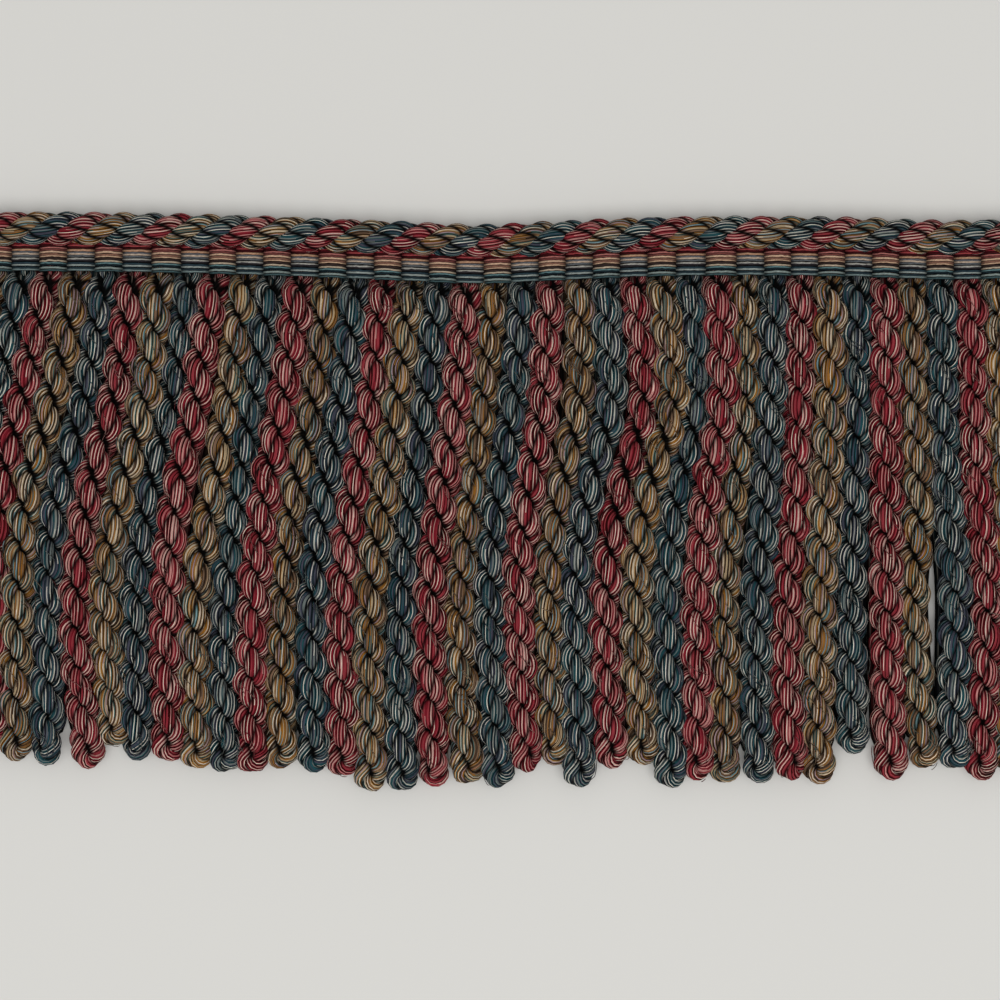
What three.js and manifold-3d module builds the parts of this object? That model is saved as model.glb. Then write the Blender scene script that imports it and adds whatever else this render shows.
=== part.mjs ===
// A cut length of bullion fringe trim, lying face up on a table.
// A three-ply cord runs along the top of a narrow woven heading, and thick twisted cords hang from it
// side by side in wine, olive and teal. Each of these is a rope folded back on itself and twisted,
// so it ends in a loop.
// Millimetres. X runs along the trim, Y from the loops to the top cord, Z up from the table.

import * as THREE from 'three';
import { mergeVertices } from 'three/addons/utils/BufferGeometryUtils.js';
import Module from 'manifold-3d';

const wasm = await Module();
wasm.setup();

const colours = { wine: 0x6b2a2e, olive: 0x62523f, teal: 0x2c4449 };
const colourNames = Object.keys(colours);

const fringe = {
  count: 39,
  pitch: 7.41,
  lay: 23,
  stepsPerLay: 6,
  ridge: 3.65,
  groove: 2.45,
  gapBelowHeading: 0.6,
  loopEnd: [{ above: 1.6, size: 0.86 }, { above: 0, size: 0.42 }],
};

// How each bullion cord lies, from the left. The first three columns are its sideways shift at the
// depths below, the fourth is the shift at its loop, and the last is how far down the loop reaches.
const depths = { upper: 33, middle: 59, lower: 86 };
const cordLie = [
  { upper: -6.4, middle: -12.0, lower: -14.6, loop: -15.2, reach: 129 },
  { upper: -6.4, middle: -12.0, lower: -14.6, loop: -15.2, reach: 131 },
  { upper: -6.6, middle: -12.0, lower: -14.6, loop: -15.2, reach: 127 },
  { upper: -7.4, middle: -12.5, lower: -14.8, loop: -15.4, reach: 126 },
  { upper: -6.3, middle: -13.2, lower: -15.6, loop: -16.1, reach: 129 },
  { upper: -5.5, middle: -12.6, lower: -15.0, loop: -15.3, reach: 130 },
  { upper: -4.6, middle: -11.5, lower: -14.7, loop: -11.5, reach: 131 },
  { upper: -4.1, middle: -11.0, lower: -14.4, loop: -12.3, reach: 125 },
  { upper: -4.3, middle: -10.7, lower: -13.9, loop: -13.3, reach: 129 },
  { upper: -5.3, middle: -10.6, lower: -12.5, loop: -12.8, reach: 129 },
  { upper: -3.9, middle: -8.5, lower: -12.7, loop: -12.7, reach: 131 },
  { upper: -5.0, middle: -9.2, lower: -12.2, loop: -12.4, reach: 132 },
  { upper: -4.1, middle: -9.2, lower: -12.4, loop: -12.4, reach: 132 },
  { upper: -3.6, middle: -9.2, lower: -11.8, loop: -12.3, reach: 131 },
  { upper: -3.3, middle: -8.6, lower: -11.0, loop: -11.2, reach: 132 },
  { upper: -3.5, middle: -7.8, lower: -10.9, loop: -10.9, reach: 133 },
  { upper: -3.7, middle: -7.4, lower: -10.6, loop: -10.9, reach: 137 },
  { upper: -3.7, middle: -7.4, lower: -10.3, loop: -9.8, reach: 137 },
  { upper: -2.6, middle: -6.8, lower: -9.8, loop: -8.4, reach: 136 },
  { upper: -3.2, middle: -6.3, lower: -9.2, loop: -7.1, reach: 135 },
  { upper: -2.2, middle: -6.2, lower: -8.9, loop: -6.0, reach: 136 },
  { upper: -2.2, middle: -6.2, lower: -8.6, loop: -6.2, reach: 132 },
  { upper: 0.5, middle: -5.1, lower: -7.5, loop: -6.4, reach: 130 },
  { upper: 1.1, middle: -5.3, lower: -8.0, loop: -7.2, reach: 136 },
  { upper: 2.4, middle: -4.0, lower: -7.2, loop: -6.1, reach: 131 },
  { upper: 2.7, middle: -4.5, lower: -6.8, loop: -5.0, reach: 130 },
  { upper: 1.7, middle: -3.4, lower: -5.7, loop: -4.9, reach: 136 },
  { upper: 0.9, middle: -2.8, lower: -5.4, loop: -5.2, reach: 134 },
  { upper: -0.1, middle: -3.3, lower: -5.7, loop: -5.4, reach: 135 },
  { upper: -0.8, middle: -2.2, lower: -4.6, loop: -3.8, reach: 135 },
  { upper: -0.3, middle: -1.6, lower: -3.7, loop: -2.7, reach: 134 },
  { upper: 0.3, middle: -1.6, lower: -2.6, loop: -2.9, reach: 135 },
  { upper: 0.3, middle: -1.0, lower: -1.8, loop: -1.0, reach: 127 },
  { upper: 0.1, middle: 0.4, lower: 0.1, loop: 2.2, reach: 134 },
  { upper: 0.1, middle: 1.5, lower: -0.1, loop: 3.3, reach: 131 },
  { upper: 0.7, middle: 1.5, lower: 3.9, loop: 3.6, reach: 131 },
  { upper: 1.5, middle: 2.6, lower: 5.0, loop: 3.3, reach: 134 },
  { upper: 1.2, middle: 2.2, lower: 4.8, loop: 3.3, reach: 132 },
  { upper: 1.1, middle: 2.1, lower: 4.8, loop: 3.2, reach: 131 },
];

// The heading doesn't lie quite straight: its lower edge dips in the middle and again at the right.
const headingDip = [
  { x: -145, y: 1.5 },
  { x: -105, y: 1.3 },
  { x: -78, y: 0.8 },
  { x: -52, y: 0 },
  { x: -25, y: -1.1 },
  { x: -4, y: -1.9 },
  { x: 15, y: -1.1 },
  { x: 41, y: 0 },
  { x: 68, y: 0.3 },
  { x: 95, y: 0 },
  { x: 121, y: -0.8 },
  { x: 145, y: -0.1 },
];

// The heading's section, from its lower edge at y 0. Its first point is the inner corner under the lip,
// and rise is how much a point stands up in the middle of a cell above the groove beside it.
const heading = {
  stepsInCell: [0, 0.24, 0.76],
  section: [
    { y: 3.2, z: 4.7, rise: 0 },
    { y: 3.2, z: 0, rise: 0 },
    { y: 7.05, z: 0, rise: 0 },
    { y: 7.05, z: 3.4, rise: 0.3 },
    { y: 5.6, z: 5.0, rise: 0.9 },
    { y: 1.8, z: 5.3, rise: 1.0 },
    { y: 0, z: 5.0, rise: 0.4 },
    { y: 0, z: 4.7, rise: 0 },
  ],
};

// Strips that hold the roots of each colour, one above another under the heading's lip.
const rootStrip = { from: 0.25, to: 2.5, thickness: 0.6, apart: 0.3, lowest: 2, overhang: 1.6 };
const rootTab = { width: 3, intoCord: 1.5, intoStrip: 0.5, inset: 0.06 };

const topCord = {
  aboveHeading: 11.55,
  lay: 22.2,
  stepsPerLay: 8,
  sides: 4,
  plyCentre: 2.35,
  plyRadius: 1.9,
};

const length = fringe.count * fringe.pitch;
const wholeTurn = 2 * Math.PI;

// A smooth curve through a table's rows, from the column to read along to the column to read.
function smoothAlong(rows, along, wanted, at) {
  let first = 0;
  while (first < rows.length - 2 && at > rows[first + 1][along]) first += 1;
  const slope = (from, to) => (rows[to][wanted] - rows[from][wanted]) / (rows[to][along] - rows[from][along]);
  const slopeAt = (row) => slope(Math.max(row - 1, 0), Math.min(row + 1, rows.length - 1));
  const span = rows[first + 1][along] - rows[first][along];
  const t = THREE.MathUtils.clamp((at - rows[first][along]) / span, 0, 1);
  const start = rows[first][wanted] * (1 + 2 * t) * (1 - t) ** 2 + slopeAt(first) * span * t * (1 - t) ** 2;
  const end = rows[first + 1][wanted] * t * t * (3 - 2 * t) - slopeAt(first + 1) * span * t * t * (1 - t);
  return start + end;
}

const headingLine = (x) => smoothAlong(headingDip, 'x', 'y', x);

// A closed solid through a row of rings. Each ring turns to the left as seen from the next one,
// and its first point sees all the others, so that each end closes as a fan.
function loft(rings) {
  const sides = rings[0].length;
  const last = rings.length - 1;
  const at = (ring, side) => ring * sides + (side % sides);
  const index = [];
  for (let ring = 0; ring < last; ring += 1) {
    for (let side = 0; side < sides; side += 1) {
      index.push(at(ring, side), at(ring, side + 1), at(ring + 1, side + 1));
      index.push(at(ring, side), at(ring + 1, side + 1), at(ring + 1, side));
    }
  }
  for (let side = 1; side < sides - 1; side += 1) {
    index.push(at(0, 0), at(0, side + 1), at(0, side));
    index.push(at(last, 0), at(last, side), at(last, side + 1));
  }
  const geometry = new THREE.BufferGeometry().setFromPoints(rings.flat());
  geometry.setIndex(index);
  return geometry;
}

function toSolid(geometry) {
  const bare = geometry.clone();
  bare.deleteAttribute('normal');
  bare.deleteAttribute('uv');
  const merged = mergeVertices(bare);
  const vertProperties = new Float32Array(merged.attributes.position.array);
  const triVerts = new Uint32Array(merged.index.array);
  return new wasm.Manifold(new wasm.Mesh({ numProp: 3, vertProperties, triVerts }));
}

function toGeometry(solid) {
  const mesh = solid.getMesh();
  const geometry = new THREE.BufferGeometry();
  geometry.setAttribute('position', new THREE.BufferAttribute(mesh.vertProperties, 3));
  geometry.setIndex(new THREE.BufferAttribute(mesh.triVerts, 1));
  return geometry;
}

const cordX = (index) => (index - (fringe.count - 1) / 2) * fringe.pitch;

// Where a bullion cord's middle runs, sideways, at a depth below the heading.
function cordShift(index, depth) {
  const lie = cordLie[index];
  const rows = [
    { depth: 0, shift: 0 },
    { depth: depths.upper, shift: lie.upper },
    { depth: depths.middle, shift: lie.middle },
    { depth: depths.lower, shift: lie.lower },
    { depth: lie.reach, shift: lie.loop },
  ];
  return smoothAlong(rows, 'depth', 'shift', depth);
}

// The levels of a cord's rings, from its root down to its loop, with the size of each ring.
function cordLevels(index) {
  const { reach } = cordLie[index];
  const step = fringe.lay / fringe.stepsPerLay;
  const rootDepth = fringe.gapBelowHeading - headingLine(cordX(index));
  const levels = [{ depth: rootDepth, size: 1 }];
  for (let depth = (Math.floor(rootDepth / step) + 1) * step; depth < reach - step; depth += step) {
    levels.push({ depth, size: 1 });
  }
  for (const { above, size } of fringe.loopEnd) levels.push({ depth: reach - above, size });
  return levels;
}

// Two strands twisted round each other: a four-sided section with its ridges on the strands' crowns.
// Neighbours are a quarter turn apart, so that the ridge of one lies in the groove of the next,
// and each cord's middle is as high as its lowest ridge needs to rest on the table.
function bullionCord(index) {
  const corners = [0, 1, 2, 3];
  const quarter = wholeTurn / corners.length;
  const levels = cordLevels(index);
  const turnAt = (depth) => (wholeTurn * depth) / fringe.lay + (index % 2) * quarter;
  const reachOf = (corner) => (corner % 2 === 0 ? fringe.ridge : fringe.groove);
  const dropAt = ({ depth, size }) => Math.max(
    ...corners.map((corner) => -size * reachOf(corner) * Math.cos(turnAt(depth) - corner * quarter)),
  );
  const middleHeight = Math.max(...levels.map(dropAt));
  const ring = ({ depth, size }) => corners.map((corner) => {
    const angle = turnAt(depth) - corner * quarter;
    const reach = size * reachOf(corner);
    const x = cordX(index) + cordShift(index, depth) + reach * Math.sin(angle);
    return new THREE.Vector3(x, -depth, middleHeight + reach * Math.cos(angle));
  });
  return loft(levels.map(ring));
}

// A flat bar between two X positions that follows the heading's line.
function barAlongHeading(stations, from, to, low, high) {
  const ring = (x) => [
    new THREE.Vector3(x, headingLine(x) + from, low),
    new THREE.Vector3(x, headingLine(x) + to, low),
    new THREE.Vector3(x, headingLine(x) + to, high),
    new THREE.Vector3(x, headingLine(x) + from, high),
  ];
  return loft(stations.map(ring));
}

// The bullion cords of one colour, fused by short tabs into their own strip under the heading.
function fringeOfColour(order) {
  const cords = [];
  for (let index = order; index < fringe.count; index += colourNames.length) cords.push(index);
  const low = rootStrip.lowest + order * (rootStrip.thickness + rootStrip.apart);
  const high = low + rootStrip.thickness;
  const stations = [];
  for (const index of cords) stations.push(cordX(index));
  stations[0] -= rootStrip.overhang;
  stations[stations.length - 1] += rootStrip.overhang;
  let solid = toSolid(barAlongHeading(stations, rootStrip.from, rootStrip.to, low, high));
  for (const index of cords) {
    const sides = [cordX(index) - rootTab.width / 2, cordX(index) + rootTab.width / 2];
    const tab = barAlongHeading(
      sides,
      -fringe.gapBelowHeading - rootTab.intoCord,
      rootStrip.from + rootTab.intoStrip,
      low + rootTab.inset,
      high - rootTab.inset,
    );
    solid = solid.add(toSolid(tab)).add(toSolid(bullionCord(index)));
  }
  return toGeometry(solid);
}

function wovenHeading() {
  const stations = [];
  for (let cell = 0; cell < fringe.count; cell += 1) {
    for (const part of heading.stepsInCell) stations.push({ cell, part });
  }
  stations.push({ cell: fringe.count, part: 0 });
  return loft(stations.map(({ cell, part }) => {
    const x = -length / 2 + (cell + part) * fringe.pitch;
    const raised = part > 0 ? 1 : 0;
    return heading.section.map(({ y, z, rise }) => new THREE.Vector3(x, headingLine(x) + y, z + raised * rise));
  }));
}

// One of the top cord's three plies: a round strand whose middle runs in a spiral.
function topCordPly(order) {
  const { lay, stepsPerLay, sides, plyCentre, plyRadius, aboveHeading } = topCord;
  const middleHeight = plyCentre + plyRadius;
  const step = lay / stepsPerLay;
  const stations = [-length / 2];
  for (let x = Math.ceil(-length / 2 / step) * step; x < length / 2; x += step) stations.push(x);
  stations.push(length / 2);
  return loft(stations.map((x) => {
    const turn = wholeTurn * (x / lay - order / colourNames.length);
    return Array.from({ length: sides }, (_, corner) => {
      const angle = turn - (wholeTurn * corner) / sides;
      const y = plyCentre * Math.sin(turn) + plyRadius * Math.sin(angle);
      const z = plyCentre * Math.cos(turn) + plyRadius * Math.cos(angle);
      return new THREE.Vector3(x, headingLine(x) + aboveHeading + y, middleHeight + z);
    });
  }));
}

function yarnMesh(name, geometry, colour) {
  const material = new THREE.MeshStandardMaterial({ color: colour, roughness: 0.85, metalness: 0 });
  const mesh = new THREE.Mesh(geometry, material);
  mesh.name = name;
  return mesh;
}

const trim = new THREE.Group();
trim.add(yarnMesh('heading', wovenHeading(), 0x6a4c46));
colourNames.forEach((name, order) => {
  trim.add(yarnMesh(`top_cord_${name}`, topCordPly(order), colours[name]));
  trim.add(yarnMesh(`fringe_${name}`, fringeOfColour(order), colours[name]));
});

// The origin is under the middle of the whole trim, on the table.
const bounds = new THREE.Box3().setFromObject(trim);
const middle = bounds.getCenter(new THREE.Vector3());
trim.position.set(-middle.x, -middle.y, -bounds.min.z);

export default trim;
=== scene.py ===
# Bullion fringe trim, dressed in yarn: a three-strand cord, a woven heading and 39 looped cords.
import math

import bpy
import numpy as np
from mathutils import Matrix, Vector


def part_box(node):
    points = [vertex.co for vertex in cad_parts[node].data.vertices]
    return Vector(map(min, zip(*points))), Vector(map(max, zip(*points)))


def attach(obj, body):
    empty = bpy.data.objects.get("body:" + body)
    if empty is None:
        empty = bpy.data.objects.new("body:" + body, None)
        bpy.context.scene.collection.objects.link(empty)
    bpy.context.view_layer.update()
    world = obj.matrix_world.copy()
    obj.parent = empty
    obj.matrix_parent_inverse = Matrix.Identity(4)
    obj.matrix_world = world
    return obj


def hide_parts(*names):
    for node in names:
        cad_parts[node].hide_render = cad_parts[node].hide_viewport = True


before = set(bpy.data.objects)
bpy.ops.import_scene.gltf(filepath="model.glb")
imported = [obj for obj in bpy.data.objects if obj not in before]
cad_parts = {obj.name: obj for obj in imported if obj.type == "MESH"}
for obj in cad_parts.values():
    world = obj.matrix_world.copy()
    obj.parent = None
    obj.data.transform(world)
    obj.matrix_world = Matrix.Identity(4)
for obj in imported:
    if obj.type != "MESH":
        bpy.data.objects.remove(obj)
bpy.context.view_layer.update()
mm = 0.001
wholeTurn = 2 * math.pi
print("frame loaded:", sorted(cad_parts))

# How each bullion cord lies, from the left, in millimetres: sideways shift at three depths and at its
# loop, and how far down the loop reaches.
lieColumns = ("upper", "middle", "lower", "loop", "reach")
cordLie = (
    (-6.4, -12.0, -14.6, -15.2, 129), (-6.4, -12.0, -14.6, -15.2, 131), (-6.6, -12.0, -14.6, -15.2, 127),
    (-7.4, -12.5, -14.8, -15.4, 126), (-6.3, -13.2, -15.6, -16.1, 129), (-5.5, -12.6, -15.0, -15.3, 130),
    (-4.6, -11.5, -14.7, -11.5, 131), (-4.1, -11.0, -14.4, -12.3, 125), (-4.3, -10.7, -13.9, -13.3, 129),
    (-5.3, -10.6, -12.5, -12.8, 129), (-3.9, -8.5, -12.7, -12.7, 131), (-5.0, -9.2, -12.2, -12.4, 132),
    (-4.1, -9.2, -12.4, -12.4, 132), (-3.6, -9.2, -11.8, -12.3, 131), (-3.3, -8.6, -11.0, -11.2, 132),
    (-3.5, -7.8, -10.9, -10.9, 133), (-3.7, -7.4, -10.6, -10.9, 137), (-3.7, -7.4, -10.3, -9.8, 137),
    (-2.6, -6.8, -9.8, -8.4, 136), (-3.2, -6.3, -9.2, -7.1, 135), (-2.2, -6.2, -8.9, -6.0, 136),
    (-2.2, -6.2, -8.6, -6.2, 132), (0.5, -5.1, -7.5, -6.4, 130), (1.1, -5.3, -8.0, -7.2, 136),
    (2.4, -4.0, -7.2, -6.1, 131), (2.7, -4.5, -6.8, -5.0, 130), (1.7, -3.4, -5.7, -4.9, 136),
    (0.9, -2.8, -5.4, -5.2, 134), (-0.1, -3.3, -5.7, -5.4, 135), (-0.8, -2.2, -4.6, -3.8, 135),
    (-0.3, -1.6, -3.7, -2.7, 134), (0.3, -1.6, -2.6, -2.9, 135), (0.3, -1.0, -1.8, -1.0, 127),
    (0.1, 0.4, 0.1, 2.2, 134), (0.1, 1.5, -0.1, 3.3, 131), (0.7, 1.5, 3.9, 3.6, 131),
    (1.5, 2.6, 5.0, 3.3, 134), (1.2, 2.2, 4.8, 3.3, 132), (1.1, 2.1, 4.8, 3.2, 131),
)
lieDepths = {"upper": 33, "middle": 59, "lower": 86}
colourNames = ("wine", "olive", "teal")

# The dip of the heading's lower edge, and how far each of the heading's grooves lies right of an even
# grid. Both are in millimetres, after the place along the trim.
headingDip = (
    (-145, 1.5), (-105, 1.3), (-78, 0.8), (-52, 0), (-25, -1.1), (-4, -1.9), (15, -1.1),
    (41, 0), (68, 0.3), (95, 0), (121, -0.8), (145, -0.1),
)
grooveDrift = (
    (-145, 1.1), (-98, 0.9), (-84, 1.7), (-62, 1.3), (-34, 1.2), (-12, 0.9), (10, 0.6),
    (41, 0.0), (56, 0.7), (63, 1.5), (85, 1.0), (108, 0.4), (130, 0.0), (145, 0.0),
)


def smoothThrough(stations, values, at):
    # a smooth curve through the stations, like the one that the solids follow
    stations = np.asarray(stations, float)
    values = np.asarray(values, float)
    slopes = np.empty(len(stations))
    slopes[1:-1] = (values[2:] - values[:-2]) / (stations[2:] - stations[:-2])
    slopes[0] = (values[1] - values[0]) / (stations[1] - stations[0])
    slopes[-1] = (values[-1] - values[-2]) / (stations[-1] - stations[-2])
    at = np.asarray(at, float)
    first = np.clip(np.searchsorted(stations, at, side="right") - 1, 0, len(stations) - 2)
    span = stations[first + 1] - stations[first]
    t = np.clip((at - stations[first]) / span, 0, 1)
    start = values[first] * (1 + 2 * t) * (1 - t) ** 2 + slopes[first] * span * t * (1 - t) ** 2
    end = values[first + 1] * t * t * (3 - 2 * t) - slopes[first + 1] * span * t * t * (1 - t)
    return start + end


def headingLine(x):
    return smoothThrough(*zip(*headingDip), x)


def smoothStep(value):
    value = np.clip(value, 0, 1)
    return value * value * (3 - 2 * value)


# The solids' own middle is taken from the heading, so that every piece lies where its solid does.
headingLow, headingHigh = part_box("heading")
trimLength = (headingHigh.x - headingLow.x) / mm
cellCount = len(cordLie)
pitch = trimLength / cellCount
alongTrim = np.linspace(-trimLength / 2, trimLength / 2, 3 * cellCount + 1)
trimMiddle = np.array([
    (headingLow.x + headingHigh.x) / 2 / mm,
    headingLow.y / mm - headingLine(alongTrim).min(),
    0.0,
])


def toFrame(points):
    # from millimetres about the heading's lower edge to metres in the frame
    return (np.asarray(points, float) + trimMiddle) * mm


# Node building
def put(tree, kind, values=None, **settings):
    made = tree.nodes.new(kind)
    for key, value in settings.items():
        setattr(made, key, value)
    for key, value in (values or {}).items():
        socket = made.inputs[key]
        if isinstance(value, bpy.types.NodeSocket):
            tree.links.new(value, socket)
        else:
            socket.default_value = value
    return made


def calc(tree, operation, *values):
    return put(tree, "ShaderNodeMath", dict(enumerate(values)), operation=operation).outputs[0]


def vectorCalc(tree, operation, *values):
    keys = (0, "Scale") if operation == "SCALE" else range(len(values))
    made = put(tree, "ShaderNodeVectorMath", dict(zip(keys, values)), operation=operation)
    return made.outputs["Value" if operation == "DISTANCE" else "Vector"]


def readAttribute(tree, name, kind="FLOAT"):
    return put(tree, "GeometryNodeInputNamedAttribute", {"Name": name}, data_type=kind).outputs["Attribute"]


def keepAttribute(tree, geometry, name, value, domain="POINT", kind="FLOAT"):
    values = {"Geometry": geometry, "Name": name, "Value": value}
    made = put(tree, "GeometryNodeStoreNamedAttribute", values, data_type=kind, domain=domain)
    return made.outputs["Geometry"]


# Lays plies round guide lines. A guide's points carry which way is outward, the length so far, how full
# the yarn is there and how much painted light or shade it gets. Each ply has a rounded back and a flat side
# toward its partner. The UV map follows the yarns, which wind round the ply: yarns across, length along. The
# attribute swell is 1 on a ply's back and low where plies meet, and open is low in the cord's middle; the
# finishes paint shade where these are low.
# Each input has its kind of socket and the key of a piece's settings that it takes.
plyInputs = (
    ("Guides", "NodeSocketGeometry", None),
    ("Plies", "NodeSocketInt", "plies"),
    ("Lay", "NodeSocketFloat", "lay"),
    ("Offset", "NodeSocketFloat", "offset"),
    ("Ply height", "NodeSocketFloat", "height"),
    ("Ply width", "NodeSocketFloat", "width"),
    ("Sides", "NodeSocketInt", "sides"),
    ("Yarn lay", "NodeSocketFloat", "yarnLay"),
    ("Strand radius", "NodeSocketFloat", "strandRadius"),
    ("Strand centre", "NodeSocketFloat", "strandCentre"),
    ("Finish", "NodeSocketMaterial", None),
)
# how far the plies of a strand are spread along their dyes and how near points are joined, both in
# millimetres, and the least fullness that the cord's radius is worked out with
plyBuild = {"dyeSpread": 31.7, "weld": 0.002, "leastFullness": 0.3}
plyTree = bpy.data.node_groups.new("layPlies", "GeometryNodeTree")
for socketName, socketKind, _ in plyInputs:
    plyTree.interface.new_socket(name=socketName, in_out="INPUT", socket_type=socketKind)
plyTree.interface.new_socket(name="Yarn", in_out="OUTPUT", socket_type="NodeSocketGeometry")
plySocket = {item.name: item.identifier for item in plyTree.interface.items_tree if item.in_out == "INPUT"}


def openness(tree, given):
    # how far out of the cord's middle a point lies, as a share of the cord's radius
    here = put(tree, "GeometryNodeInputPosition").outputs[0]
    strandPlace = readAttribute(tree, "strandPlace", "FLOAT_VECTOR")
    outward = readAttribute(tree, "outward", "FLOAT_VECTOR")
    size = calc(tree, "MAXIMUM", readAttribute(tree, "fullness"), plyBuild["leastFullness"])
    strandCentre = calc(tree, "MULTIPLY", size, given["Strand centre"])
    cordRadius = calc(tree, "ADD", strandCentre, calc(tree, "MULTIPLY", size, given["Strand radius"]))
    cordPlace = vectorCalc(tree, "SUBTRACT", strandPlace, vectorCalc(tree, "SCALE", outward, strandCentre))
    return calc(tree, "DIVIDE", vectorCalc(tree, "DISTANCE", here, cordPlace), cordRadius)


def plySection(tree, given):
    # the first and last points lie together at the flat side's middle, and the rest go round the back
    pointCount = calc(tree, "ADD", given["Sides"], 1)
    line = put(tree, "GeometryNodeMeshLine", {"Count": pointCount}, mode="OFFSET").outputs[0]
    section = put(tree, "GeometryNodeMeshToCurve", {"Mesh": line}).outputs[0]
    index = put(tree, "GeometryNodeInputIndex").outputs[0]
    around = calc(tree, "DIVIDE", index, given["Sides"])
    fromBack = calc(tree, "SUBTRACT", around, 0.5)
    swell = calc(tree, "SUBTRACT", 1.0, calc(tree, "MULTIPLY", calc(tree, "ABSOLUTE", fromBack), 2.0))
    section = keepAttribute(tree, section, "around", around)
    section = keepAttribute(tree, section, "swell", swell)
    onBack = calc(tree, "GREATER_THAN", swell, 0.01)
    backShare = calc(tree, "SUBTRACT", 1.0, calc(tree, "DIVIDE", 2.0, given["Sides"]))
    angle = calc(tree, "MULTIPLY", calc(tree, "DIVIDE", fromBack, backShare), math.pi)
    rise = calc(tree, "MULTIPLY", given["Ply height"], calc(tree, "COSINE", angle))
    base = calc(tree, "MULTIPLY", given["Offset"], -1.0)
    aside = calc(tree, "MULTIPLY", given["Ply width"], calc(tree, "SINE", angle))
    place = put(tree, "ShaderNodeCombineXYZ", {
        "X": put(tree, "ShaderNodeMix", {"Factor": onBack, 2: base, 3: rise}).outputs[0],
        "Y": calc(tree, "MULTIPLY", aside, onBack),
    }).outputs[0]
    return put(tree, "GeometryNodeSetPosition", {"Geometry": section, "Position": place}).outputs[0]


def buildPlyTree(tree):
    given = tree.nodes.new("NodeGroupInput").outputs
    curve = put(tree, "GeometryNodeMeshToCurve", {"Mesh": given["Guides"]}).outputs[0]
    plies = put(tree, "GeometryNodeDuplicateElements", {"Geometry": curve, "Amount": given["Plies"]},
                domain="SPLINE")
    plyShare = calc(tree, "DIVIDE", plies.outputs["Duplicate Index"], given["Plies"])
    along = readAttribute(tree, "along")
    turns = calc(tree, "ADD", calc(tree, "DIVIDE", along, given["Lay"]), plyShare)
    turn = calc(tree, "MULTIPLY", turns, wholeTurn)
    outward = readAttribute(tree, "outward", "FLOAT_VECTOR")
    tangent = put(tree, "GeometryNodeInputTangent").outputs[0]
    sideways = vectorCalc(tree, "NORMALIZE", vectorCalc(tree, "CROSS_PRODUCT", tangent, outward))
    squareOutward = vectorCalc(tree, "CROSS_PRODUCT", sideways, tangent)
    towardPly = vectorCalc(
        tree, "ADD",
        vectorCalc(tree, "SCALE", squareOutward, calc(tree, "COSINE", turn)),
        vectorCalc(tree, "SCALE", sideways, calc(tree, "SINE", turn)),
    )
    lines = keepAttribute(tree, plies.outputs["Geometry"], "towardPly", towardPly, kind="FLOAT_VECTOR")
    strandPlace = put(tree, "GeometryNodeInputPosition").outputs[0]
    lines = keepAttribute(tree, lines, "strandPlace", strandPlace, kind="FLOAT_VECTOR")
    plyLength = calc(tree, "ADD", along, calc(tree, "MULTIPLY", plyShare, plyBuild["dyeSpread"] * mm))
    lines = keepAttribute(tree, lines, "plyLength", plyLength)
    fullness = readAttribute(tree, "fullness")
    toPly = readAttribute(tree, "towardPly", "FLOAT_VECTOR")
    lines = put(tree, "GeometryNodeSetCurveNormal", {"Curve": lines, "Normal": toPly}, mode="FREE").outputs[0]
    shift = vectorCalc(tree, "SCALE", toPly, calc(tree, "MULTIPLY", given["Offset"], fullness))
    lines = put(tree, "GeometryNodeSetPosition", {"Geometry": lines, "Offset": shift}).outputs[0]

    swept = {"Curve": lines, "Profile Curve": plySection(tree, given), "Scale": fullness}
    mesh = put(tree, "GeometryNodeCurveToMesh", swept).outputs[0]
    yarnTurns = calc(tree, "DIVIDE", readAttribute(tree, "along"), given["Yarn lay"])
    uv = put(tree, "ShaderNodeCombineXYZ", {
        "X": calc(tree, "ADD", readAttribute(tree, "around"), yarnTurns),
        "Y": readAttribute(tree, "plyLength"),
    }).outputs[0]
    mesh = keepAttribute(tree, mesh, "UVMap", uv, domain="CORNER", kind="FLOAT2")
    mesh = keepAttribute(tree, mesh, "open", openness(tree, given))
    weld = {"Geometry": mesh, "Distance": plyBuild["weld"] * mm}
    mesh = put(tree, "GeometryNodeMergeByDistance", weld).outputs[0]
    mesh = put(tree, "GeometryNodeTriangulate", {"Mesh": mesh}, quad_method="SHORTEST_DIAGONAL").outputs[0]
    mesh = put(tree, "GeometryNodeSetShadeSmooth", {"Geometry": mesh, "Shade Smooth": True}).outputs[0]
    mesh = put(tree, "GeometryNodeRealizeInstances", {"Geometry": mesh}).outputs[0]
    finished = {"Geometry": mesh, "Material": given["Finish"]}
    mesh = put(tree, "GeometryNodeSetMaterial", finished).outputs[0]
    tree.links.new(mesh, tree.nodes.new("NodeGroupOutput").inputs[0])


buildPlyTree(plyTree)
print("ply tree built")

# What a guide's points carry, and the attributes that a finished piece doesn't keep
guideFields = (
    ("outward", "FLOAT_VECTOR", "vector"), ("along", "FLOAT", "value"), ("fullness", "FLOAT", "value"),
    ("dye", "FLOAT", "value"), ("bare", "FLOAT", "value"),
)
passingFields = ("outward", "along", "fullness", "towardPly", "strandPlace", "plyLength", "around")
endSize = 0.01  # a line's fullness at its two ends, where it closes
noTwist = 1e9  # a lay too long to turn, in millimetres
plainYarn = {"plies": 1, "lay": noTwist, "yarnLay": noTwist, "strandRadius": 1.0, "strandCentre": 0.0}


def guideLine(points, outward, fullness, along, dye=0, bare=1.0):
    # lengths are in millimetres, and dye, which only the heading's finish reads, and the painted light or
    # shade are one number or one for each point
    count = len(points)
    return {"points": points, "outward": outward, "fullness": fullness, "along": along,
            "dye": np.broadcast_to(dye, count), "bare": np.broadcast_to(bare, count)}


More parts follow.
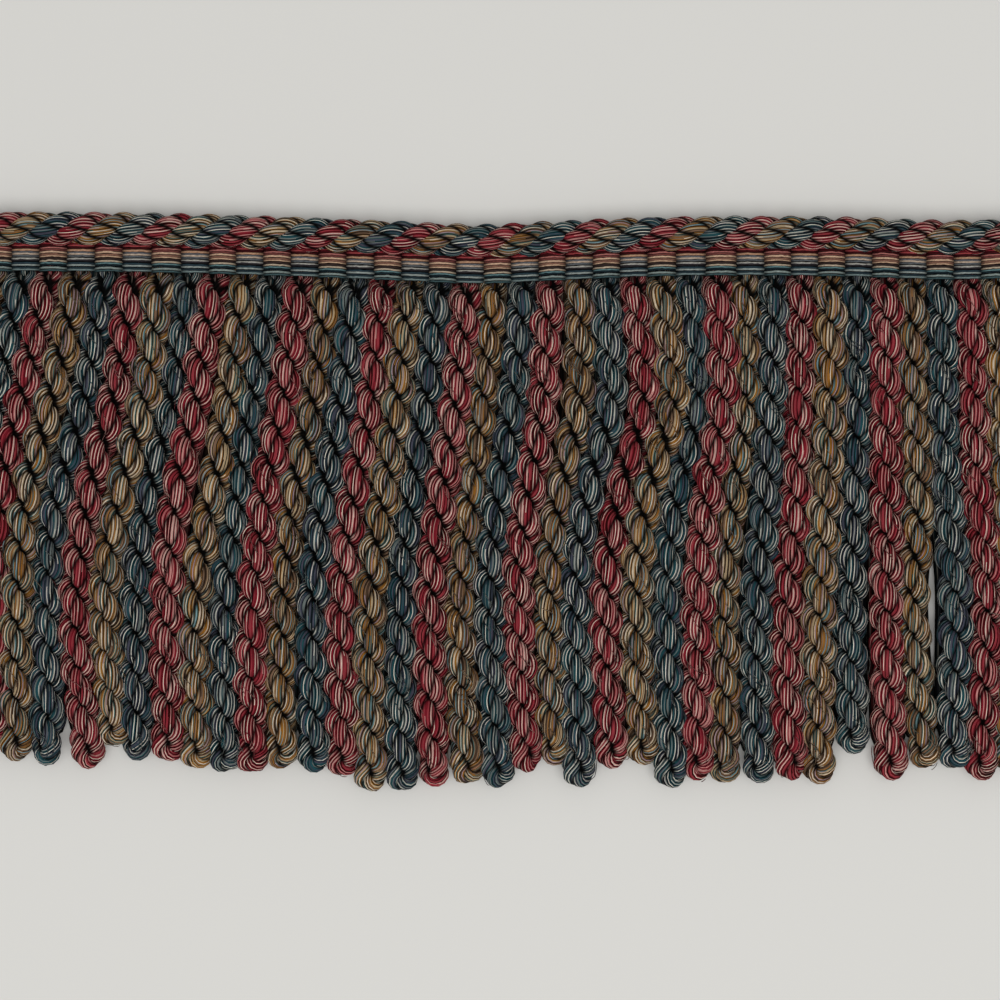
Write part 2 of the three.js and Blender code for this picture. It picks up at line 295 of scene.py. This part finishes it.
def guideMesh(name, guides):
    counts = [len(guide["points"]) for guide in guides]
    starts = np.cumsum([0] + counts[:-1])
    edges = [(start + i, start + i + 1) for start, count in zip(starts, counts) for i in range(count - 1)]
    mesh = bpy.data.meshes.new(name)
    mesh.from_pydata(toFrame(np.concatenate([guide["points"] for guide in guides])).tolist(), edges, [])
    for key, kind, field in guideFields:
        values = np.concatenate([np.asarray(guide[key], float) for guide in guides])
        if key == "along":
            values = values * mm
        attribute = mesh.attributes.new(key, kind, "POINT")
        attribute.data.foreach_set(field, values.astype(np.float32).ravel())
    return mesh


def spinYarn(name, guides, settings, finish):
    mesh = guideMesh(name + "Guides", guides)
    carrier = bpy.data.objects.new(name + "Guides", mesh)
    bpy.context.scene.collection.objects.link(carrier)
    modifier = carrier.modifiers.new("layPlies", "NODES")
    modifier.node_group = plyTree
    for socketName, socketKind, key in plyInputs:
        if socketKind == "NodeSocketFloat":
            modifier[plySocket[socketName]] = float(settings[key] * mm)
        if socketKind == "NodeSocketInt":
            modifier[plySocket[socketName]] = settings[key]
    modifier[plySocket["Finish"]] = finish
    bpy.context.view_layer.update()
    shown = carrier.evaluated_get(bpy.context.evaluated_depsgraph_get())
    plain = bpy.data.meshes.new_from_object(shown)
    plain.name = name
    for field in passingFields:
        if field in plain.attributes:
            plain.attributes.remove(plain.attributes[field])
    carrier.modifiers.remove(modifier)
    bpy.data.objects.remove(carrier)
    bpy.data.meshes.remove(mesh)
    piece = bpy.data.objects.new(name, plain)
    bpy.context.scene.collection.objects.link(piece)
    print(name, "triangles:", sum(len(face.vertices) - 2 for face in plain.polygons))
    return piece


def measured(points):
    steps = np.linalg.norm(np.diff(points, axis=0), axis=1)
    return np.concatenate([[0], np.cumsum(steps)])


def evenly(points, outward, fullness, step):
    # the same line with its points a step apart, closed at its ends
    length = measured(points)
    count = max(2, int(round(length[-1] / step)) + 1)
    at = np.linspace(0, length[-1], count)

    def pick(values):
        return np.stack([np.interp(at, length, column) for column in values.T], axis=1)

    unit = pick(outward)
    unit /= np.linalg.norm(unit, axis=1)[:, None]
    full = np.interp(at, length, fullness)
    full[[0, -1]] = endSize
    return pick(points), unit, full, at


def layInTurningFrame(lay, guideLay, guideRadius):
    # a lay along the strand in the frame that turns with it round the cord; right-handed is positive
    slope = wholeTurn * guideRadius / guideLay
    return 1 / (1 / lay - 1 / (guideLay * (1 + slope * slope)))


# Bullion cords, in millimetres
bullion = {
    "lay": 19.7, "layVaries": (0.97, 1.03), "plyLay": 8.0, "strandOffset": 2.35, "flatness": 0.88,
    "clearance": 1.04, "sizeVaries": (0.97, 1.03), "step": 0.6, "samples": 400, "seed": 11,
    # at the root, each a share of what it is below the heading
    "top": -2.6, "fullBelow": 6.0, "rootWidth": 0.9, "rootHeight": 0.35, "rootFullness": 0.62,
    "rootRest": 0.4, "sideBySide": 2.0, "rootTurn": 0.3,
    # at the loop
    "loopSpread": 0.8, "loopLength": 8.0, "loopPoints": 22, "loopTurn": 0.35,
    "slackLength": 4.0, "slack": 0.85,
    # how a cord sways, and where one that lies over its neighbours comes down
    "sway": 0.25, "swayLength": (9, 14), "downFrom": 30.0, "downOver": 24.0,
    # where along the dyes each cord's yarns start
    "dyeApart": 400, "dyeVaries": (0, 9),
}
bullionPly = {
    "plies": 2, "offset": 0.35, "height": 2.5, "width": 2.2, "sides": 8,
    "yarnLay": 10.2, "strandRadius": 2.85, "strandCentre": bullion["strandOffset"],
    "lay": layInTurningFrame(bullion["plyLay"], -bullion["lay"], bullion["strandOffset"]),
}
# a yarn low in the middle of each cord, darkened by painted shade
bullionCore = {
    **plainYarn, "offset": 1.0, "height": 1.2, "width": 4.9, "sides": 8,
    "level": 1.2, "shade": 0.11, "short": 1.5, "taper": 7.0, "tipSize": 0.65, "step": 2.5,
}
# loose fibres that follow a strand for a little way and lift off it
strayFibre = {
    **plainYarn, "strandRadius": 0.03, "offset": 0.1, "height": 0.1, "width": 0.12, "sides": 4,
    "count": 30, "points": 7, "reach": (3.0, 9.0), "peel": (0.2, 2.0), "peelPower": 1.5, "lean": 1.6,
    "rooted": 0.96, "lowest": 0.4, "tipSize": 0.2, "facing": -0.1, "fromEnds": (12, 24),
    "dyeVaries": (0, 9000),
}
# cords that lie over their neighbours and cords that lie under them
overCords = (4, 6, 7, 9, 12, 16, 18, 21, 25, 27, 31, 33)
underCords = (2, 5, 8, 11, 13, 17, 19, 22, 26, 28, 30, 32)
cordLift = {"over": 2.0, "under": 0.0, "between": 1.0}


def strayGuide(cord, chance):
    # it starts where the strand faces up or sideways, away from the rope's two ends
    upper = np.flatnonzero(cord["outward"][:, 2] > strayFibre["facing"])
    fromRoot, fromLast = strayFibre["fromEnds"]
    upper = upper[(upper > fromRoot) & (upper < len(cord["points"]) - fromLast)]
    first = chance.choice(upper)
    steps = int(chance.uniform(*strayFibre["reach"]) / bullion["step"])
    share = np.linspace(0, 1, strayFibre["points"])
    at = np.clip(first + share * steps, 0, len(cord["points"]) - 1).astype(int)
    peel = chance.uniform(*strayFibre["peel"]) * share ** strayFibre["peelPower"]
    rise = bullionPly["strandRadius"] * strayFibre["rooted"] + peel
    out = cord["outward"][first]
    lean = np.array([chance.uniform(-1, 1), chance.uniform(-1, 1), 0]) * strayFibre["lean"]
    points = cord["points"][at] + out * rise[:, None] + lean * (share ** 2)[:, None]
    points[:, 2] = np.maximum(points[:, 2], strayFibre["lowest"])
    fullness = np.ones(len(points))
    fullness[[0, -1]] = strayFibre["tipSize"]
    along = measured(points) + chance.uniform(*strayFibre["dyeVaries"])
    return guideLine(points, np.tile(out, (len(points), 1)), fullness, along)


def coreGuide(middleX, depth, end):
    inside = depth < end - bullionCore["short"]
    level = np.full(inside.sum(), bullionCore["level"])
    line = np.stack([middleX[inside], -depth[inside], level], axis=1)
    upward = np.tile([0.0, 0, 1], (len(line), 1))
    grown = smoothStep((end - bullionCore["short"] - depth[inside]) / bullionCore["taper"])
    full = grown * (1 - bullionCore["tipSize"]) + bullionCore["tipSize"]
    spaced = evenly(line, upward, full, bullionCore["step"])
    # the core's colour is darkened by painted shade
    return guideLine(*spaced, bare=bullionCore["shade"])


def cordTurns(depth, end, chance):
    # the angle of one strand round the cord. The two lie side by side, or nearly, under the heading and
    # at the loop, so the lay gives a little.
    lay = bullion["lay"] * chance.uniform(*bullion["layVaries"])
    slack = smoothStep((depth - end + bullion["slackLength"]) / bullion["slackLength"]) * bullion["slack"]
    rate = wholeTurn / lay * (1 - slack)
    turned = np.concatenate([[0], np.cumsum((rate[1:] + rate[:-1]) / 2 * np.diff(depth))])
    tipAngle = math.pi / 2 + chance.normal(0, bullion["loopTurn"])
    rootAngle = math.pi / 2 + chance.normal(0, bullion["rootTurn"])
    atRoot = np.interp(bullion["sideBySide"], depth, turned)
    halfTurns = round((turned[-1] - atRoot - tipAngle + rootAngle) / math.pi)
    turned *= (halfTurns * math.pi + tipAngle - rootAngle) / (turned[-1] - atRoot)
    return turned - turned[-1] + tipAngle


def roundLoop(sides, reach):
    # the rope's turn from one side of the cord to the other, with its outward directions
    bend = np.linspace(0, math.pi, bullion["loopPoints"] + 2)[1:-1]
    tipOut = sides[0][1][-1]
    centre = (sides[0][0][-1] + sides[1][0][-1]) / 2
    turnOut = np.cos(bend)[:, None] * tipOut + np.sin(bend)[:, None] * np.array([0, -1.0, 0])
    return centre + reach * turnOut * np.array([1, 1, bullion["flatness"]]), turnOut


def bullionGuide(index, chance):
    # a cord's rope, down one side, round the loop and up the other, with its core and its loose fibres
    lie = dict(zip(lieColumns, cordLie[index]))
    rootX = (index - (cellCount - 1) / 2) * pitch
    dip = float(headingLine(rootX))
    strandRadius = bullionPly["strandRadius"]
    loopRadius = bullion["strandOffset"] * bullion["loopSpread"]
    end = lie["reach"] - strandRadius - loopRadius
    depth = np.linspace(bullion["top"] - dip, end, bullion["samples"])
    below = smoothStep((depth + dip) / bullion["fullBelow"])

    def grownFrom(rootShare):
        return rootShare + (1 - rootShare) * below

    nearLoop = smoothStep((depth - end + bullion["loopLength"]) / bullion["loopLength"])
    spread = 1 + (bullion["loopSpread"] - 1) * nearLoop
    angle = cordTurns(depth, end, chance)

    stations = [0, lieDepths["upper"], lieDepths["middle"], lieDepths["lower"], lie["reach"]]
    shifts = [0, lie["upper"], lie["middle"], lie["lower"], lie["loop"]]
    wave = np.sin(depth / chance.uniform(*bullion["swayLength"]) + chance.uniform(0, wholeTurn))
    middleX = rootX + smoothThrough(stations, shifts, depth) + bullion["sway"] * wave * below
    restHeight = bullion["strandOffset"] * bullion["flatness"] + strandRadius * bullion["clearance"]
    place = "over" if index in overCords else "under" if index in underCords else "between"
    down = smoothStep((depth - end + bullion["downFrom"]) / bullion["downOver"])
    lift = cordLift[place] * below * (1 - down)
    middleZ = restHeight * grownFrom(bullion["rootRest"]) + lift

    reach = bullion["strandOffset"] * spread
    reachX = reach * grownFrom(bullion["rootWidth"])
    reachZ = reach * grownFrom(bullion["rootHeight"]) * bullion["flatness"]
    thick = grownFrom(bullion["rootFullness"])
    sides = []
    for half in (0, math.pi):
        x = middleX + reachX * np.sin(angle + half)
        z = middleZ + reachZ * np.cos(angle + half)
        z = np.maximum(z, strandRadius * thick * bullion["clearance"])
        out = np.stack([np.sin(angle + half), np.zeros_like(angle), np.cos(angle + half)], axis=1)
        sides.append((np.stack([x, -depth, z], axis=1), out))
    turnPoints, turnOut = roundLoop(sides, reach[-1])
    points = np.concatenate([sides[0][0], turnPoints, sides[1][0][::-1]])
    outward = np.concatenate([sides[0][1], turnOut, sides[1][1][::-1]])
    fullness = np.concatenate([thick, np.ones(len(turnPoints)), thick[::-1]])
    fullness = fullness * chance.uniform(*bullion["sizeVaries"])
    points, outward, fullness, along = evenly(points, outward, fullness, bullion["step"])
    along = along + index * bullion["dyeApart"] + chance.uniform(*bullion["dyeVaries"])
    cord = guideLine(points, outward, fullness, along)
    strays = [strayGuide(cord, chance) for _ in range(strayFibre["count"])]
    return cord, coreGuide(middleX, depth, end), strays


# Top cord, in millimetres
topCord = {
    "aboveHeading": 11.4, "height": 4.85, "lay": 22.2, "plyLay": 8.7, "plyCentre": 2.3,
    "step": 0.6, "samples": 1200, "dyeStart": 17000, "dyeApart": 700,
}
topCordPly = {
    "plies": 2, "offset": 0.35, "height": 2.1, "width": 2.0, "sides": 10,
    "yarnLay": 7.8, "strandRadius": 2.3, "strandCentre": topCord["plyCentre"],
    "lay": layInTurningFrame(topCord["plyLay"], -topCord["lay"], topCord["plyCentre"]),
}


def lineAlongHeading(aboveHeading, level, samples):
    # a level line that follows the heading's lower edge
    x = np.linspace(-trimLength / 2, trimLength / 2, samples)
    return np.stack([x, headingLine(x) + aboveHeading, np.full_like(x, level)], axis=1)


def topCordGuide(order):
    line = lineAlongHeading(topCord["aboveHeading"], topCord["height"], topCord["samples"])
    angle = wholeTurn * (line[:, 0] / topCord["lay"] - order / len(colourNames))
    out = np.stack([np.zeros_like(angle), np.sin(angle), np.cos(angle)], axis=1)
    points = line + topCord["plyCentre"] * out
    points, outward, fullness, along = evenly(points, out, np.ones_like(angle), topCord["step"])
    along = along + topCord["dyeStart"] + order * topCord["dyeApart"]
    return guideLine(points, outward, fullness, along)


# Woven heading, in millimetres
heading = {
    "rows": 13, "low": 0.3, "high": 7.9, "backLevel": 0.75, "grooveLevel": 2.3, "faceLevel": 5.6,
    "edgeDrop": 0.9, "archPower": 0.65, "crossing": 0.14, "rowWander": 0.09, "yarnWander": 0.04,
    "rowSize": (0.8, 1.15), "yarnSize": (0.9, 1.1), "stepsPerCell": 10, "seed": 5,
    # painted shade on the warps in the grooves and where they pass under, and how wide the grooves' painted
    # shade is
    "grooveShade": 0.03, "underShade": 0.1, "grooveShare": 0.68,
    "dyeStart": 24000, "dyeApart": 700,
}
headingPly = {**plainYarn, "offset": 0.3, "height": 0.34, "width": 0.34, "sides": 6, "yarnLay": 3.4,
              "strandRadius": 0.1}
# the plain backing behind the warps, which reaches under the top cord; its dye is dark and painted shade
# darkens it further
headingBacking = {
    **plainYarn, "offset": 0.5, "height": 1.0, "width": 5.2, "sides": 10,
    "middle": 5.8, "level": 0.3, "dye": 0.2, "shade": 0.12, "step": 3.0, "samples": 400,
}


def backingGuide():
    line = lineAlongHeading(headingBacking["middle"], headingBacking["level"], headingBacking["samples"])
    upward = np.tile([0.0, 0, 1], (len(line), 1))
    spaced = evenly(line, upward, np.ones(len(line)), headingBacking["step"])
    # the backing's colour is darkened by painted shade
    return guideLine(*spaced, dye=headingBacking["dye"], bare=headingBacking["shade"])


def warpGuide(row, overEven, chance):
    # one warp yarn: over every other cell and under the ones between
    stations = np.arange(cellCount * heading["stepsPerCell"] + 1) / heading["stepsPerCell"]
    x = -trimLength / 2 + stations * pitch
    drift = smoothThrough(*zip(*grooveDrift), x)
    x = x + drift * smoothStep(stations) * smoothStep(cellCount - stations)
    cell = np.minimum(stations.astype(int), cellCount - 1)
    within = stations - cell
    arch = np.clip(np.sin(math.pi * within), 0, 1) ** heading["archPower"]
    over = (cell % 2 == 0) == overEven
    share = (row + 0.5) / heading["rows"]
    crown = heading["faceLevel"] - heading["edgeDrop"] * (2 * share - 1) ** 2
    rise = (crown - heading["grooveLevel"]) * arch
    sink = (heading["grooveLevel"] - heading["backLevel"]) * arch
    z = np.where(over, heading["grooveLevel"] + rise, heading["grooveLevel"] - sink)
    y = heading["low"] + (heading["high"] - heading["low"]) * share
    y = y + headingLine(x) + heading["rowWander"] * chance.standard_normal()
    y = y + heading["yarnWander"] * chance.standard_normal(len(x)) * arch
    nudge = heading["crossing"] * (1 if overEven else -1) * (1 - arch)
    points = np.stack([x, y + nudge, z], axis=1)
    out = np.cross(np.gradient(points, axis=0), np.array([0, 1.0, 0]))
    out /= np.linalg.norm(out, axis=1)[:, None]
    fullness = chance.uniform(*heading["rowSize"]) * chance.uniform(*heading["yarnSize"], len(x))
    fullness[[0, -1]] = endSize
    half = 0.5 if overEven else 0.0
    along = measured(points) + heading["dyeStart"] + (row + half) * heading["dyeApart"]
    # painted shade: each warp darkens toward the grooves between cells, and is dark where it passes under
    lit = smoothStep(4 * within * (1 - within) / heading["grooveShare"])
    lit = heading["grooveShade"] + (1 - heading["grooveShade"]) * lit
    bare = np.where(over, lit, heading["underShade"])
    return guideLine(points, out, fullness, along, share * 0.5 + half, bare)


# Finishes
# each look runs from its dark yarns over its middling ones to its light ones, a third of the way each
yarnLooks = {
    "wine": (
        (0.17, (0.020, 0.001, 0.001)), (0.16, (0.09, 0.004, 0.006)), (0.17, (0.29, 0.016, 0.030)),
        (0.17, (0.43, 0.055, 0.070)), (0.17, (0.76, 0.34, 0.31)), (0.16, (0.98, 0.74, 0.62)),
    ),
    "olive": (
        (0.17, (0.020, 0.011, 0.006)), (0.16, (0.10, 0.058, 0.034)), (0.11, (0.42, 0.18, 0.030)),
        (0.11, (0.10, 0.19, 0.17)), (0.12, (0.30, 0.18, 0.11)), (0.10, (0.66, 0.49, 0.29)),
        (0.08, (0.50, 0.35, 0.40)), (0.07, (0.28, 0.44, 0.49)), (0.08, (0.96, 0.82, 0.64)),
    ),
    "teal": (
        (0.18, (0.004, 0.005, 0.007)), (0.16, (0.018, 0.032, 0.044)), (0.18, (0.022, 0.099, 0.118)),
        (0.14, (0.09, 0.095, 0.135)), (0.12, (0.22, 0.26, 0.25)), (0.10, (0.52, 0.53, 0.47)),
        (0.12, (0.92, 0.88, 0.76)),
    ),
}
# segment is how long a yarn keeps one dye, in millimetres, and stagger is how far each yarn's segments
# are shifted from the last one's, as a share of a segment. fibreScale and blotchScale count for each
# metre, and bumpDepth is in millimetres.
yarnSurface = {
    "yarns": 36, "kinds": 3, "mixing": 0.3, "segment": 10.0, "stagger": 0.37,
    # the yarn edge shade and roundness set the painted shade toward each yarn's edges
    "yarnEdgeShade": 0.03, "roundness": 0.75, "gain": 1.09,
    "fibres": 2.6, "fibreScale": 300.0, "fibreDetail": 3.0, "fibreDepth": 1.2, "fibreRange": (0.3, 0.7),
    # the ply groove numbers set the painted shade where plies meet
    "plyGrooveShade": (0.26, 0.66), "bumpDepth": 0.25, "bumpStrength": 1.0, "bumpRoundness": 0.6, "bumpFibre": 0.3,
}
headingSurface = {
    "blotches": 4.0, "blotchStep": 3.7, "blotchScale": 130.0, "jitter": 0.04,
    "fibres": 14.0, "fibreScale": 1300.0, "fibreDetail": 2.0, "dust": (-0.2, 2.3),
    # the ply groove numbers set the painted shade on each warp's flat side
    "plyGrooveShade": (0.38, 0.92), "bumpDepth": 0.12, "bumpStrength": 0.8,
}
# the strand groove numbers set the painted shade in each cord's middle, down to the darkest painted shade in
# the crevices
allYarn = {"strandGrooveShade": (0.42, 0.70), "creviceShade": 0.01, "roughness": 0.85, "specular": 0.08}


def dyeRamp(tree, factor, stops):
    # one flat colour from each stop to the next
    ramp = put(tree, "ShaderNodeValToRGB", {"Fac": factor})
    ramp.color_ramp.interpolation = "CONSTANT"
    elements = ramp.color_ramp.elements
    while len(elements) < len(stops):
        elements.new(0.5)
    for element, (position, colour) in zip(elements, stops):
        element.position = position
        element.color = (*colour, 1)
    return ramp.outputs["Color"]


def dyeStops(dyes):
    stops = []
    reached = 0.0
    for share, colour in dyes:
        stops.append((reached, colour))
        reached += share
    return stops


def depthShade(tree, plyGrooveShade):
    # painted shade: 1 where the light reaches, falling to almost nothing where plies and strands press
    # together, times the painted light or shade that each guide carries
    factor = put(tree, "ShaderNodeAttribute", attribute_name="bare").outputs["Fac"]
    for attribute, (low, high) in (("swell", plyGrooveShade), ("open", allYarn["strandGrooveShade"])):
        value = put(tree, "ShaderNodeAttribute", attribute_name=attribute).outputs["Fac"]
        ramp = put(tree, "ShaderNodeMapRange", {"Value": value, "From Min": low, "From Max": high},
                   interpolation_type="SMOOTHSTEP").outputs[0]
        factor = calc(tree, "MULTIPLY", factor, ramp)
    return put(tree, "ShaderNodeMapRange", {"Value": factor, "To Min": allYarn["creviceShade"]}).outputs[0]


def fibreNoise(tree, across, metres, surface):
    place = put(tree, "ShaderNodeCombineXYZ", {
        "X": calc(tree, "MULTIPLY", across, surface["fibres"]),
        "Y": calc(tree, "MULTIPLY", metres, surface["fibreScale"]),
    }).outputs[0]
    values = {"Vector": place, "Scale": 1.0, "Detail": surface["fibreDetail"]}
    return put(tree, "ShaderNodeTexNoise", values).outputs[0]


def startFinish(name):
    # a new material with the UV map's two parts: turns round the ply and metres along it
    finish = bpy.data.materials.new(name)
    finish.use_nodes = True
    tree = finish.node_tree
    uv = put(tree, "ShaderNodeUVMap", uv_map="UVMap").outputs[0]
    split = put(tree, "ShaderNodeSeparateXYZ", {0: uv})
    return finish, tree, split.outputs["X"], split.outputs["Y"]


def endFinish(tree, dye, shade, height, surface):
    shader = tree.nodes["Principled BSDF"]
    tree.links.new(vectorCalc(tree, "SCALE", dye, shade), shader.inputs["Base Color"])
    relief = {"Height": height, "Distance": surface["bumpDepth"] * mm, "Strength": surface["bumpStrength"]}
    tree.links.new(put(tree, "ShaderNodeBump", relief).outputs[0], shader.inputs["Normal"])
    shader.inputs["Roughness"].default_value = allYarn["roughness"]
    shader.inputs["Specular IOR Level"].default_value = allYarn["specular"]


def yarnFinish(name, dyes):
    # yarns lie side by side round each ply, each in one dye for a while, with painted shade where they meet
    finish, tree, turns, metres = startFinish(name)
    surface = yarnSurface
    around = calc(tree, "MULTIPLY", turns, surface["yarns"])
    yarn = calc(tree, "WRAP", calc(tree, "FLOOR", around), surface["yarns"], 0.0)
    crest = calc(tree, "SINE", calc(tree, "MULTIPLY", calc(tree, "FRACT", around), math.pi))
    segments = calc(tree, "DIVIDE", metres, surface["segment"] * mm)
    staggered = calc(tree, "ADD", segments, calc(tree, "MULTIPLY", yarn, surface["stagger"]))
    place = put(tree, "ShaderNodeCombineXYZ", {"X": yarn, "Y": calc(tree, "FLOOR", staggered)}).outputs[0]
    pick = put(tree, "ShaderNodeTexWhiteNoise", {"Vector": place}, noise_dimensions="2D").outputs["Value"]
    # dark, middling, light and middling yarns lie in turn, and each kind mixes a little with the next
    last = surface["kinds"] - 1
    kind = calc(tree, "PINGPONG", calc(tree, "MODULO", yarn, 2 * last), last)
    spread = calc(tree, "MULTIPLY", pick, 1 + 2 * surface["mixing"])
    spread = calc(tree, "SUBTRACT", spread, surface["mixing"])
    pick = calc(tree, "DIVIDE", calc(tree, "ADD", kind, spread), surface["kinds"])
    dye = dyeRamp(tree, pick, dyeStops(dyes))

    fibre = fibreNoise(tree, around, metres, surface)
    # painted shade, darkest at each yarn's edges and full at its crest
    rounded = calc(tree, "POWER", crest, surface["roundness"])
    shade = put(tree, "ShaderNodeMapRange", {"Value": rounded, "To Min": surface["yarnEdgeShade"]}).outputs[0]
    low, high = surface["fibreRange"]
    grain = put(tree, "ShaderNodeMapRange", {
        "Value": fibre, "From Min": low, "From Max": high,
        "To Min": surface["gain"] - surface["fibreDepth"] / 2,
        "To Max": surface["gain"] + surface["fibreDepth"] / 2,
    }).outputs[0]
    # painted shade where plies meet and in the cord's middle
    shade = calc(tree, "MULTIPLY", shade, depthShade(tree, surface["plyGrooveShade"]))
    shade = calc(tree, "MULTIPLY", shade, grain)
    height = calc(tree, "POWER", crest, surface["bumpRoundness"])
    height = calc(tree, "ADD", height, calc(tree, "MULTIPLY", fibre, surface["bumpFibre"]))
    endFinish(tree, dye, shade, height, surface)
    return finish


def headingFinish(name, dyes):
    # each warp has its own dye, with short stretches of its neighbours' dyes
    finish, tree, turns, metres = startFinish(name)
    surface = headingSurface
    blotch = calc(tree, "FLOOR", calc(tree, "MULTIPLY", turns, surface["blotches"]))
    place = put(tree, "ShaderNodeCombineXYZ", {
        "X": calc(tree, "MULTIPLY", blotch, surface["blotchStep"]),
        "Y": calc(tree, "MULTIPLY", metres, surface["blotchScale"]),
    }).outputs[0]
    pick = put(tree, "ShaderNodeTexNoise", {"Vector": place, "Scale": 1.0, "Detail": 1.0}).outputs[0]
    jitter = calc(tree, "MULTIPLY", calc(tree, "SUBTRACT", pick, 0.5), surface["jitter"])
    warpDye = put(tree, "ShaderNodeAttribute", attribute_name="dye").outputs["Fac"]
    dye = dyeRamp(tree, calc(tree, "ADD", warpDye, jitter), dyes)

    fibre = fibreNoise(tree, turns, metres, surface)
    base, gain = surface["dust"]
    dust = calc(tree, "ADD", base, calc(tree, "MULTIPLY", fibre, gain))
    # painted shade in the grooves, where warps pass under and on their flat sides, times the fibres' random
    # tone
    shade = calc(tree, "MULTIPLY", depthShade(tree, surface["plyGrooveShade"]), dust)
    endFinish(tree, dye, shade, fibre, surface)
    return finish


# warp colours from the lower edge up, first in the odd cells and then in the even ones, which are greyer
oddWarps = (
    (0.05, 0.09, 0.095), (0.22, 0.265, 0.25), (0.010, 0.020, 0.026), (0.11, 0.20, 0.21), (0.44, 0.35, 0.26),
    (0.035, 0.022, 0.020), (0.54, 0.35, 0.23), (0.20, 0.10, 0.07), (0.58, 0.38, 0.26), (0.15, 0.045, 0.040),
    (0.42, 0.15, 0.13), (0.045, 0.004, 0.006), (0.26, 0.024, 0.034),
)
evenWarps = (
    (0.15, 0.20, 0.20), (0.016, 0.030, 0.038), (0.27, 0.305, 0.29), (0.022, 0.042, 0.055),
    (0.022, 0.019, 0.022), (0.34, 0.33, 0.30), (0.10, 0.11, 0.12), (0.46, 0.36, 0.28),
    (0.11, 0.115, 0.13), (0.42, 0.24, 0.15), (0.05, 0.006, 0.008), (0.32, 0.052, 0.055),
    (0.12, 0.007, 0.012),
)
warpCount = len(oddWarps) + len(evenWarps)
headingDyes = [(index / warpCount, colour) for index, colour in enumerate(oddWarps + evenWarps)]

finishes = {colour: yarnFinish(colour + "Yarn", yarnLooks[colour]) for colour in colourNames}
headingYarn = headingFinish("headingYarn", headingDyes)
print("finishes built")


# Pieces
def addPiece(name, guides, settings, finish, node):
    piece = spinYarn(name, guides, settings, finish)
    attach(piece, "root")
    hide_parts(node)


for order, colour in enumerate(colourNames):
    chance = np.random.default_rng(bullion["seed"] + order)
    places = range(order, cellCount, len(colourNames))
    guides, cores, strays = zip(*[bullionGuide(index, chance) for index in places])
    for name, lines, settings, node in (
        ("bullion_", guides[::2], bullionPly, "fringe_"),
        ("more_bullion_", guides[1::2], bullionPly, "fringe_"),
        ("bullion_core_", cores, bullionCore, "fringe_"),
        ("stray_fibres_", sum(strays, []), strayFibre, "fringe_"),
        ("cord_ply_", [topCordGuide(order)], topCordPly, "top_cord_"),
    ):
        addPiece(name + colour, lines, settings, finishes[colour], node + colour)

chance = np.random.default_rng(heading["seed"])
warps = [warpGuide(row, overEven, chance) for row in range(heading["rows"]) for overEven in (False, True)]
addPiece("woven_heading", warps, headingPly, headingYarn, "heading")
addPiece("heading_backing", [backingGuide()], headingBacking, headingYarn, "heading")

# Floor, light and camera. The view's place is in millimetres about the heading, as are the lens and the
# sensor in the camera, and the other lengths are in metres.
studio = {
    "view": (1.44, -59.3, 4.0), "distance": 0.74, "lens": 100, "sensor": 36,
    "floor": 6.0, "floorColour": (0.685, 0.678, 0.65), "floorRoughness": 0.9,
    "world": 0.48, "worldColour": (1.0, 0.995, 0.985),
    "lamp": 16.5, "lampSize": 1.4, "lampPlace": (0.05, -0.4, 1.55),
}
target = Vector(toFrame([studio["view"]])[0])


def addObject(name, data):
    made = bpy.data.objects.new(name, data)
    bpy.context.scene.collection.objects.link(made)
    return made


floorMesh = bpy.data.meshes.new("floor")
half = studio["floor"] / 2
corners = [(-half, -half, 0), (half, -half, 0), (half, half, 0), (-half, half, 0)]
floorMesh.from_pydata(corners, [], [(0, 1, 2, 3)])
floorFinish = bpy.data.materials.new("paleFloor")
floorFinish.use_nodes = True
floorShader = floorFinish.node_tree.nodes["Principled BSDF"]
floorShader.inputs["Base Color"].default_value = (*studio["floorColour"], 1)
floorShader.inputs["Roughness"].default_value = studio["floorRoughness"]
floorMesh.materials.append(floorFinish)
floor = addObject("floor", floorMesh)

world = bpy.data.worlds.new("softRoom")
bpy.context.scene.world = world
world.use_nodes = True
world.node_tree.nodes["Background"].inputs["Color"].default_value = (*studio["worldColour"], 1)
world.node_tree.nodes["Background"].inputs["Strength"].default_value = studio["world"]

lamp = bpy.data.lights.new("softbox", "AREA")
lamp.shape = "SQUARE"
lamp.size = studio["lampSize"]
lamp.energy = studio["lamp"]
softbox = addObject("softbox", lamp)
softbox.location = target + Vector(studio["lampPlace"])
softbox.rotation_euler = (target - softbox.location).to_track_quat("-Z", "Y").to_euler()

camera = bpy.data.cameras.new("overhead")
camera.lens = studio["lens"]
camera.sensor_width = studio["sensor"]
eye = addObject("overhead", camera)
eye.location = target + Vector((0, 0, studio["distance"]))
bpy.context.scene.camera = eye
bpy.context.scene.view_settings.view_transform = "Standard"
print("studio set")

bpy.context.view_layer.update()
